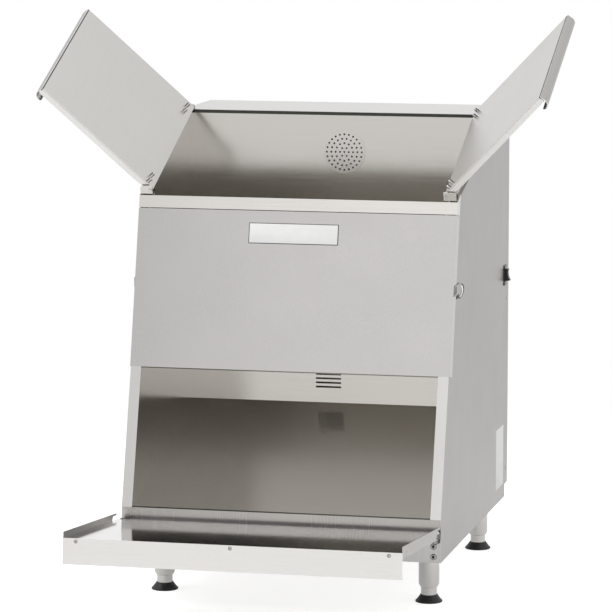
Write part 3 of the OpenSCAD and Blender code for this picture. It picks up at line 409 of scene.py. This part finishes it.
# painted light and shade by facing: the side panels' and lids' faces turned to the front take
# a lighter tone, the lid handles' outward faces a darker one, and the door flanges' inward
# sides a bright painted reflection
painted_tones_of = {"door_side_flanges": [(steel_painted_highlight, faces_inward)]}
for hand in ("left", "right"):
    painted_tones_of[f"side_panel_{hand}"] = [(fold_steel_painted_light, faces_front)]
    painted_tones_of[f"lid_outer_{hand}"] = [(lid_fold_steel_painted_light, faces_front)]
    painted_tones_of[f"lid_handle_{hand}"] = [(flange_steel_painted_shade, faces_outward)]
dressed = {node: softened(node, width, painted_tones_of.get(node, ()))
           for node, width in edges.items()}
print("dressed nodes", len(dressed))

# %% [markdown]
# ## Finding the metal under a rivet
# A rivet or a plate must sit on the sheet that carries it, seen from any side. Typing
# its depth by hand would leave it floating or sunk. So a ray is cast at the CAD node,
# and the place and the normal that it hits become the seat of the small piece.

# %% Seats on the sheet metal
BACKWARD, LEFTWARD, DOWNWARD = (0, 1, 0), (-1, 0, 0), (0, 0, -1)
BEFORE, BESIDE, ABOVE = -60, 330, 900     # rays start clear of the front, side and top
SMOOTH_DEGREES = 40


def seat(node, start, direction, turn=0.0):
    """Where a ray meets a node: a matrix with Z along the outward normal there."""
    mesh = frame["nodes"][node].data
    metal = BVHTree.FromPolygons([v.co for v in mesh.vertices],
                                 [p.vertices for p in mesh.polygons])
    place, normal, _, _ = metal.ray_cast(start, Vector(direction).normalized())
    if place is None:
        raise ValueError(f"no metal of {node} under {tuple(start)}")
    # X stays level, so that a plate on a wall stands upright
    upward = Vector((0, 0, 1)) if abs(normal.z) < 0.9 else Vector((0, 1, 0))
    right = upward.cross(normal).normalized()
    basis = Matrix((right, normal.cross(right), normal)).transposed().to_4x4()
    return Matrix.Translation(place) @ basis @ Matrix.Rotation(turn, 4, "Z")


def finished_piece(name, shape, finish, body, matrix):
    """A bmesh put in its place, riding on a body, with smooth faces and sharp edges.

    Faces marked with material index 1 take the painted shade of a recess, with its grime."""
    mesh = bpy.data.meshes.new(name)
    bmesh.ops.recalc_face_normals(shape, faces=shape.faces)
    bmesh.ops.transform(shape, matrix=matrix, verts=shape.verts)
    for face in shape.faces:
        face.smooth = True
    for edge in shape.edges:
        edge.smooth = edge.calc_face_angle(0.0) < math.radians(SMOOTH_DEGREES)
    shape.to_mesh(mesh)
    shape.free()
    mesh.materials.append(finish)
    if any(polygon.material_index for polygon in mesh.polygons):
        mesh.materials.append(painted_shade_dark)
    piece = bpy.data.objects.new(name, mesh)
    bpy.context.scene.collection.objects.link(piece)
    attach(piece, body)
    return piece


PLATE_X, PLATE_Z = -3.5, 653.1
LABEL_Y, LABEL_Z = 592, 181
plate_seat = seat("front_panel", at(PLATE_X, BEFORE, PLATE_Z), BACKWARD)
label_seat = seat("side_panel_right", at(BESIDE, LABEL_Y, LABEL_Z), LEFTWARD)
print("seats of plate and label",
      [[round(v, 4) for v in place.translation] for place in (plate_seat, label_seat)])

# %% [markdown]
# ## The bare name plate
# A maker rivets or glues a small enamelled plate to the middle of the front. Here it
# stays blank: a dark rim and a pale field. It is built as one flat outline with rounded
# corners, raised in steps, so that the rim keeps a real edge that catches light.

# %% Plates with a rim
def rounded_outline(width, height, radius, steps=5):
    """Points round a rectangle with rounded corners, in metres, about its middle."""
    points = []
    for corner in range(4):
        cx = (width / 2 - radius) * (1 if corner in (0, 3) else -1)
        cy = (height / 2 - radius) * (1 if corner in (0, 1) else -1)
        for i in range(steps + 1):
            angle = math.radians(90 * corner + 90 * i / steps)
            points.append((cx + radius * math.cos(angle), cy + radius * math.sin(angle)))
    return points


def stepped_plate(width, height, radius, steps):
    """A plate as rings: each step is (inset, height above the seat)."""
    shape = bmesh.new()
    rings = []
    for inset, level in steps:
        outline = rounded_outline(width - 2 * inset, height - 2 * inset,
                                  max(radius - inset, 0.1 * MM))
        rings.append([shape.verts.new((x, y, level)) for x, y in outline])
    for low, high in zip(rings, rings[1:]):
        for i in range(len(low)):
            j = (i + 1) % len(low)
            shape.faces.new((low[i], low[j], high[j], high[i]))
    shape.faces.new(rings[-1])
    shape.faces.new(list(reversed(rings[0])))
    return shape


PLATE_W, PLATE_H, PLATE_T = 163 * MM, 37 * MM, 0.9 * MM
RIM_W, PLATE_BEVEL, FIELD_BEVEL, FIELD_RISE = 1.3 * MM, 0.2 * MM, 0.1 * MM, 0.08 * MM
LABEL_W, LABEL_H, LABEL_T = 80 * MM, 115 * MM, 0.2 * MM
PLATE_CORNER, FIELD_CORNER, LABEL_CORNER = 0.8 * MM, 0.5 * MM, 3 * MM
rim = stepped_plate(PLATE_W, PLATE_H, PLATE_CORNER,
                    [(0, 0), (0, PLATE_T - PLATE_BEVEL), (PLATE_BEVEL, PLATE_T)])
finished_piece("name_plate_rim", rim, border_ink, "cabinet", plate_seat)
field = stepped_plate(PLATE_W - 2 * RIM_W, PLATE_H - 2 * RIM_W, FIELD_CORNER,
                      [(0, PLATE_T - FIELD_BEVEL), (0, PLATE_T),
                       (FIELD_BEVEL, PLATE_T + FIELD_RISE)])
finished_piece("name_plate_field", field, plate_white, "cabinet",
               plate_seat)
film = stepped_plate(LABEL_W, LABEL_H, LABEL_CORNER,
                     [(0, 0), (0, 0.6 * LABEL_T), (0.5 * LABEL_T, LABEL_T)])
finished_piece("side_label", film, label_film, "cabinet", label_seat)
print("plates", [round(v / MM) for v in (PLATE_W, PLATE_H, LABEL_W, LABEL_H)])

# %% [markdown]
# ## Rivets and screws
# Blind rivets hold the bar along the door's front edge, and cross-head screws hold the
# door's hinge brackets and the rear cover, with one more on the flat top. Each head is
# a turned form: a short profile of radius and height is spun round its axis. The rivet
# keeps the small pit where its pin broke off, and the screw gets a real recess:
# alternate sectors of its middle drop down to a cross. A flat dark ring round each head's
# foot is painted shadow, and the pit and the recess are painted dark as shade.

# %% Turned heads
def turned(profile, sides):
    """A closed form of revolution about Z from (radius, height) pairs."""
    shape = bmesh.new()
    rings = []
    for radius, level in profile:
        if radius == 0:
            rings.append([shape.verts.new((0, 0, level))])
            continue
        angles = [2 * math.pi * i / sides for i in range(sides)]
        rings.append([shape.verts.new((radius * math.cos(angle), radius * math.sin(angle),
                                       level)) for angle in angles])
    for low, high in zip(rings, rings[1:]):
        for i in range(sides):
            j = (i + 1) % sides
            corners = (low[i % len(low)], low[j % len(low)],
                       high[j % len(high)], high[i % len(high)])
            unique = list(dict.fromkeys(corners))
            if len(unique) > 2:
                shape.faces.new(unique)
    return shape


def from_axis(point):
    """How far a point lies from the Z axis."""
    return math.hypot(point.x, point.y)


def paint_shade(shape, r, pit):
    """Painted shade: the ring round a head's foot is its painted shadow, and the pit in its
    middle is painted dark.
    """
    for face in shape.faces:
        distance = from_axis(face.calc_center_median())
        face.material_index = int(distance > 1.01 * r or distance < pit * r)
    return shape


def rivet_head(radius):
    """Dome of a blind rivet with the pit of its broken pin; the radius is in mm."""
    r = radius * MM
    # the flat ring from r out to 1.25 r is painted shadow round the rivet's foot
    shape = turned([(0, 0), (1.25 * r, 0), (1.22 * r, 0.08 * r), (r, 0.08 * r),
                    (0.97 * r, 0.2 * r), (0.8 * r, 0.42 * r), (0.6 * r, 0.56 * r),
                    (0.42 * r, 0.6 * r), (0.38 * r, 0.4 * r), (0, 0.38 * r)], sides=20)
    return paint_shade(shape, r, 0.41)


def screw_head(radius):
    """Pan head with a cross recess: alternate sectors of the middle drop down."""
    r = radius * MM
    top, arm_floor, centre_floor = 0.5 * r, 0.22 * r, 0.12 * r
    # the flat ring from r out to 1.14 r is painted shadow round the screw's foot
    shape = turned([(0, 0), (1.14 * r, 0), (1.12 * r, 0.06 * r), (r, 0.06 * r),
                    (0.97 * r, 0.22 * r), (0.84 * r, 0.44 * r), (0.66 * r, top),
                    (0.56 * r, top), (0.2 * r, top), (0, top)], sides=16)
    for vert in shape.verts:
        sector = round(math.atan2(vert.co.y, vert.co.x) / (math.pi / 8)) % 4
        if vert.co.z > 0.9 * top and from_axis(vert.co) < 0.22 * r:
            vert.co.z = centre_floor
        elif vert.co.z > 0.9 * top and from_axis(vert.co) < 0.58 * r and sector == 0:
            vert.co.z = arm_floor
    paint_shade(shape, r, 0.25)
    # painted shade with some grime: the faces deep in the cross recess take the dark finish
    for face in shape.faces:
        deep = [v for v in face.verts if from_axis(v.co) < 0.6 * r and v.co.z < 0.3 * r]
        if len(deep) > 1 and face.calc_center_median().z > 0.05 * r:
            face.material_index = 1
    return shape


for name, head in (("rivet", rivet_head(1)), ("screw", screw_head(1))):
    print(name, "head of", len(head.faces), "faces")
    head.free()

# %% Rivets and screws in their places
STRIP_RIVET_R, FLANGE_RIVET_R, BASE_HEAD_R, COVER_HEAD_R = 2.6, 1.5, 4.8, 3.0
BEFORE_DOOR, STRIP_RIVET_Z, FLANGE_RIVET_Y = -400, 179.5, -322
rivets = [("door_handle_strip", at(x, BEFORE_DOOR, STRIP_RIVET_Z), BACKWARD, STRIP_RIVET_R)
          for x in (-269, -1.7, 268.7)]
rivets += [("door_side_flanges", at(BESIDE, FLANGE_RIVET_Y, z), LEFTWARD, FLANGE_RIVET_R)
           for z in (179.7, 173.3)]
for number, (node, start, way, radius) in enumerate(rivets):
    finished_piece(f"rivet_{number}", rivet_head(radius), steel_screw, "door",
                   seat(node, start, way))

PLAIN_HEAD = 1.8     # height of the CAD screw's plain head, whose room the new one takes
COVER_SCREW_Y = 664
# each screw stops at an angle of its own, as screws do
base_screws = [(x, z) for x in (-275.7, 275.7) for z in (107.1, 125.4)]
for number, (x, z) in enumerate(base_screws):
    on_top = seat("hinge_bracket_screws", at(x, BEFORE, z), BACKWARD, 0.3 + 0.9 * number)
    sunk = Matrix.Translation(Vector(BACKWARD) * PLAIN_HEAD * MM) @ on_top
    piece = finished_piece(f"base_screw_{number}", screw_head(BASE_HEAD_R), steel_screw,
                           "cabinet", sunk)
    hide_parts("hinge_bracket_screws")

cover_screws = [("rear_cover", at(side * BESIDE, COVER_SCREW_Y, z), (-side, 0, 0))
                for side in (-1, 1) for z in (150, 478, 808)]
cover_screws += [("top_rear_panel", at(-272, 452, ABOVE), DOWNWARD)]
for number, (node, start, way) in enumerate(cover_screws):
    finished_piece(f"cover_screw_{number}", screw_head(COVER_HEAD_R), steel_screw, "cabinet",
                   seat(node, start, way, 0.5 + 0.7 * number))
print("rivets", len(rivets), "screws", len(base_screws) + len(cover_screws))

# %% [markdown]
# ## Hooks on the lids
# Four short bars stand out of the inner face of each lid beside the hinge. They may be
# ends of sheet that hook the lid's two shells together. Each is a narrow strip in a
# painted highlight tone with a dark strip behind it that is painted shadow, so that it
# reads as a white bar with a dark outline. The CAD has slots a little farther back, and
# these are closed flush. A bright roll along the lid's front edge is a painted highlight
# of its bend. All are placed in the lid's own directions.

# %% Hooks, their painted shadows, closed slots and front highlights
def bead(name, low, high, round_mm, body, matrix, finish):
    """A soft bar between two corners in millimetres, with rounded edges."""
    shape = bmesh.new()
    bmesh.ops.create_cube(shape, size=1.0)
    low, high = Vector(low), Vector(high)
    for vert in shape.verts:
        vert.co = Vector([low[i] + (vert.co[i] + 0.5) * (high[i] - low[i])
                          for i in range(3)]) * MM
    bmesh.ops.bevel(shape, geom=list(shape.edges), offset=round_mm * MM, segments=3,
                    profile=0.5, affect="EDGES")
    return finished_piece(name, shape, finish, body, matrix)


SLOT_MIDDLES, SLOT_HALF_W, SLOT_DEPTH = (21, 41, 293, 315), 1.7, 0.8
HOOK_SHIFT, HOOK_RISE, HOOK_ROOT, HOOK_T, SHADOW_T = 9.5, 7.4, 0.5, 0.7, 0.8
SHADOW_SHORTER = 0.4
# lowest and highest place across from the hinge
SLOT_FROM, SLOT_TO = 8.6, 18.4
HOOK_FROM, HOOK_TO = 13.3, 16.7
SHADOW_FROM, SHADOW_TO = 11.9, 18.1
lids = ((-1, "left_lid"), (1, "right_lid"))
for side, lid in lids:
    for middle in SLOT_MIDDLES:
        bead(f"slot_fill_{lid}_{middle}", (SLOT_FROM, middle - SLOT_HALF_W, 0.0),
             (SLOT_TO, middle + SLOT_HALF_W, SLOT_DEPTH), 0.1, lid, lid_place(side),
             lid_steel_painted_light)
        foot = middle - HOOK_SHIFT
        # the hook's bright tone is a painted highlight
        bead(f"lid_hook_{lid}_{middle}", (HOOK_FROM, foot - HOOK_T, -HOOK_RISE),
             (HOOK_TO, foot, HOOK_ROOT), 0.2, lid, lid_place(side), steel_painted_highlight)
        # painted shadow: a dark strip behind each hook
        bead(f"hook_painted_shadow_{lid}_{middle}", (SHADOW_FROM, foot, SHADOW_SHORTER - HOOK_RISE),
             (SHADOW_TO, foot + SHADOW_T, HOOK_ROOT), 0.2, lid, lid_place(side),
             painted_shade_dark)
    # painted highlight: a bright roll along the lid's front edge stands for the light on its
    # bend
    bead(f"front_edge_painted_highlight_{lid}", (6, 0.1, -0.25), (267, 1.5, 1.0), 0.3, lid, lid_place(side),
         steel_painted_highlight)
print("hooks", len(lids) * len(SLOT_MIDDLES))

# %% [markdown]
# ## Seals and a painted shadow
# A silicone bead closes the seam between each lid's inner face and its folded edge, and
# shows as a thin dark line. A grey strip under the flat top is painted shadow of the
# opening there. Each is a bar with rounded long edges, so a small bevel on a stretched
# cube mesh is enough.

# %% Beads and strips
SEAM_OUTER, LEFT_SEAM, RIGHT_SEAM = 269.9, 267.6, 266.6     # across from the hinge
for side, lid in lids:
    bead(f"edge_seal_{lid}", (LEFT_SEAM if side < 0 else RIGHT_SEAM, 1.5, -0.2),
         (SEAM_OUTER, 322, 3.6), 0.3, lid, lid_place(side), seal_grey)
# painted shadow: the strip stands in for the shade under the flat top's edge
bead("top_gap_painted_shadow", (-269, 446, 836.4), (269, 450.7, 844.7), 1.0, "cabinet",
     Matrix.Translation(at(0, 0, 0)), painted_gap_shade)
print("seals", len(lids) + 1)

# %% [markdown]
# ## The side clips
# A strap wraps each front corner at about half the height of the front panel and holds
# the panel's folded side. Behind it a flat bow lies on the side, in a lighter painted
# tone with a painted shadow round it; what it does on the real one is not known. The
# strap has one upright slot, and dark plates beside it and under it are painted shadow.
# The bow is half of a flat ring, so it is swept from two ellipses. The slot is a thin
# dark plate as well, painted shade that stands for the cut.

# %% Bows, slot and painted shadows of the clips
BOW_PARTS = 16


def bow(outer, inner, thick):
    """Half of a flat ring from two ellipses, each given as (depth, height) in mm."""
    shape = bmesh.new()
    rows = []
    for i in range(BOW_PARTS + 1):
        angle = math.radians(-90 + 180 * i / BOW_PARTS)
        (ax, ay), (bx, by) = [(depth * math.cos(angle), height * math.sin(angle))
                              for depth, height in (outer, inner)]
        rows.append([shape.verts.new(Vector(p) * MM) for p in
                     ((ax, ay, 0), (ax, ay, thick), (bx, by, thick), (bx, by, 0))])
    for low, high in zip(rows, rows[1:]):
        for i in range(4):
            j = (i + 1) % 4
            shape.faces.new((low[i], low[j], high[j], high[i]))
    shape.faces.new(list(reversed(rows[0])))
    shape.faces.new(rows[-1])
    return shape


CLIP_Z, SHADOW_PLATE_T = 561, 0.25
BRIGHT_BOW = ((31, 11.2), (19, 8.6), 1.2)
BOW_SHADOW = ((42, 13.0), (30, 11.0), 1.0)
# each dark plate, the slot's painted shade and two painted shadows: node, where its ray
# starts, the ray's way, width, height, corner radius
painted_shadows = [("side_clips", (BESIDE, 113, CLIP_Z + 0.5), LEFTWARD, 8, 13, 2),
        ("side_panel_right", (BESIDE, 136, CLIP_Z - 14.5), LEFTWARD, 50, 7, 3.4),
        ("side_panel_right", (280.4, BEFORE, CLIP_Z), BACKWARD, 1.5, 19, 0.7)]
for side, hand in ((-1, "left"), (1, "right")):
    for number, (node, (x, y, z), way, width, height, radius) in enumerate(painted_shadows):
        place = seat(node.replace("right", hand), at(side * x, y, z),
                     (side * way[0], way[1], 0))
        flat = stepped_plate(width * MM, height * MM, radius * MM,
                             [(0, 0), (0.1 * MM, SHADOW_PLATE_T * MM)])
        finished_piece(f"clip_painted_shadow_{hand}_{number}", flat, painted_shade_dark, "cabinet",
                       place)
    place = seat(f"side_panel_{hand}", at(side * BESIDE, 164, CLIP_Z - 7), (-side, 0, 0))
    rearward = place @ Matrix.Rotation(0 if side > 0 else math.pi, 4, "Z")
    # the bow takes the door strip's lighter tone as painted light, and the wider dark half
    # ring behind it is painted shadow
    finished_piece(f"clip_bow_{hand}", bow(*BRIGHT_BOW), bar_steel_painted_light, "cabinet",
                   rearward)
    finished_piece(f"clip_bow_painted_shadow_{hand}", bow(*BOW_SHADOW), painted_shade_dark,
                   "cabinet", rearward)
print("gaps of the clips", 2 * len(painted_shadows))

# %% [markdown]
# ## Floor, light and camera
# The picture is a plain studio shot on white. The world and the far floor are white to
# the camera and to reflections, and a soft grey to everything else, so that the metal
# mirrors a white studio while the floor keeps the shadow. The near floor is matt paper
# with a glow that the camera sees in full and reflections see by about half: it lifts
# the paper towards white in the picture and in the metal, and it lights nothing else.
# Five soft boxes give the form, and their level is low enough that a colour renders
# about as it is written.

# %% The floor
FLOOR_HALF = 40.0
NEAR_END, FAR_START = 0.9, 2.2          # metres from the middle; the floor fades between
NEAR_GLOW, GLOSSY_SHARE = 0.66, 0.48


def white_rays(tree):
    """1 for camera, glossy and transmission rays, 0 for the others."""
    rays = tree.nodes.new("ShaderNodeLightPath")
    first = add_node(tree, "ShaderNodeMath", {"operation": "MAXIMUM"},
                     i0=rays.outputs["Is Camera Ray"], i1=rays.outputs["Is Glossy Ray"])
    return add_node(tree, "ShaderNodeMath", {"operation": "MAXIMUM"},
                    i0=first.outputs["Value"], i1=rays.outputs["Is Transmission Ray"])


def studio_floor():
    """A large level sheet at Z = 0."""
    shape = bmesh.new()
    bmesh.ops.create_grid(shape, x_segments=8, y_segments=8, size=FLOOR_HALF)
    mesh = bpy.data.meshes.new("studio_floor")
    shape.to_mesh(mesh)
    shape.free()
    sheet = bpy.data.objects.new("studio_floor", mesh)
    bpy.context.scene.collection.objects.link(sheet)
    return sheet


def white_paper():
    """Matt paper near the object that turns to plain white away from it."""
    made = bpy.data.materials.new("white_backdrop_paper")
    made.use_nodes = True
    tree = made.node_tree
    tree.nodes.clear()
    place = add_node(tree, "ShaderNodeTexCoord")
    apart = add_node(tree, "ShaderNodeVectorMath", {"operation": "LENGTH"},
                     i0=place.outputs["Object"])
    fade = add_node(tree, "ShaderNodeMapRange", {"interpolation_type": "SMOOTHSTEP"},
                    Value=apart.outputs["Value"], i1=NEAR_END, i2=FAR_START, i3=0.0, i4=1.0)
    far = add_node(tree, "ShaderNodeMath", {"operation": "MULTIPLY"},
                   i0=fade.outputs["Result"], i1=white_rays(tree).outputs["Value"])
    matt = add_node(tree, "ShaderNodeBsdfDiffuse", Color=colour("#E8E8E8"))
    glow = add_node(tree, "ShaderNodeEmission", Color=colour("#ffffff"), Strength=NEAR_GLOW)
    rays = tree.nodes.new("ShaderNodeLightPath")
    share = add_node(tree, "ShaderNodeMath", {"operation": "MULTIPLY_ADD"},
                     i0=rays.outputs["Is Glossy Ray"], i1=GLOSSY_SHARE,
                     i2=rays.outputs["Is Camera Ray"])
    near_glow = add_node(tree, "ShaderNodeMixShader", Fac=share.outputs["Value"],
                         i2=glow.outputs["Emission"])
    near = add_node(tree, "ShaderNodeAddShader", i0=matt.outputs["BSDF"],
                    i1=near_glow.outputs["Shader"])
    white = add_node(tree, "ShaderNodeEmission", Color=colour("#ffffff"), Strength=1.0)
    both = add_node(tree, "ShaderNodeMixShader", Fac=far.outputs["Value"],
                    i1=near.outputs["Shader"], i2=white.outputs["Emission"])
    add_node(tree, "ShaderNodeOutputMaterial", Surface=both.outputs["Shader"])
    return made


floor = studio_floor()
floor.data.materials.append(white_paper())
print("floor", [round(v) for v in floor.dimensions[:2]])

# %% The white studio round it
ZENITH = (0.82, 0.82, 0.82, 1)          # the sky dims a little overhead
AMBIENT = 0.7
world = bpy.data.worlds.new("white_studio")
bpy.context.scene.world = world
world.use_nodes = True
tree = world.node_tree
tree.nodes.clear()
toward = add_node(tree, "ShaderNodeTexCoord")
parts = add_node(tree, "ShaderNodeSeparateXYZ", Vector=toward.outputs["Generated"])
height = add_node(tree, "ShaderNodeMapRange", Value=parts.outputs["Z"], i1=-1.0, i2=1.0)
tone = add_node(tree, "ShaderNodeValToRGB", Fac=height.outputs["Result"])
tone.color_ramp.elements[0].position = 0.5
tone.color_ramp.elements[0].color = colour("#ffffff")
tone.color_ramp.elements[1].position = 1.0
tone.color_ramp.elements[1].color = ZENITH
backdrop = add_node(tree, "ShaderNodeBackground", Color=tone.outputs["Color"], Strength=1.0)
ambient = add_node(tree, "ShaderNodeBackground", Color=colour("#ffffff"), Strength=AMBIENT)
sky = add_node(tree, "ShaderNodeMixShader", Fac=white_rays(tree).outputs["Value"],
               i1=ambient.outputs["Background"], i2=backdrop.outputs["Background"])
add_node(tree, "ShaderNodeOutputWorld", Surface=sky.outputs["Shader"])
print("studio nodes", len(tree.nodes))

# %% Soft boxes
def soft_box(name, place, look_at, size, power):
    """A rectangular area lamp of a width and a height that faces a point."""
    lamp = bpy.data.lights.new(name, "AREA")
    lamp.shape = "RECTANGLE"
    lamp.size, lamp.size_y = size
    lamp.energy = power
    box = bpy.data.objects.new(name, lamp)
    box.location = place
    box.rotation_euler = (Vector(look_at) - Vector(place)).to_track_quat("-Z", "Y").to_euler()
    bpy.context.scene.collection.objects.link(box)


# name, place and aim in metres, width and height in metres, power in watts
soft_box("soft_box_key", (-3.4, -2.2, 4.2), (0, 0, 0.5), (3.0, 3.0), 60)
soft_box("soft_box_fill", (3.8, -2.0, 2.6), (0, 0, 0.5), (2.4, 2.4), 20)
soft_box("soft_box_top", (0.3, 0.8, 4.2), (0, 0.1, 0.5), (3.6, 3.6), 44)
soft_box("soft_box_front", (-0.42, -3.9, 2.0), (-0.3, 0, 0.6), (1.66, 2.2), 5)
soft_box("soft_box_low", (1.95, -4.6, 0.4), (0, 0, 0.1), (0.5, 0.7), 1.6)

# %% The camera
LENS_MM, SENSOR_MM = 217.2, 36.0        # a long lens, as the photograph's lines ask
CAMERA_PLACE = Vector((1.4688, -6.376826, 1.4052))
CAMERA_AIM = Vector((-0.00967, 0.089974, 0.50739))
lens = bpy.data.cameras.new("studio_camera")
lens.lens = LENS_MM
lens.sensor_width = SENSOR_MM
lens.sensor_fit = "HORIZONTAL"
lens.clip_end = 100.0
camera = bpy.data.objects.new("studio_camera", lens)
camera.location = CAMERA_PLACE
camera.rotation_euler = (CAMERA_AIM - camera.location).to_track_quat("-Z", "Y").to_euler()
bpy.context.scene.collection.objects.link(camera)
bpy.context.scene.camera = camera
bpy.context.scene.view_settings.view_transform = "Standard"
print("camera distance", round((CAMERA_AIM - camera.location).length, 3))
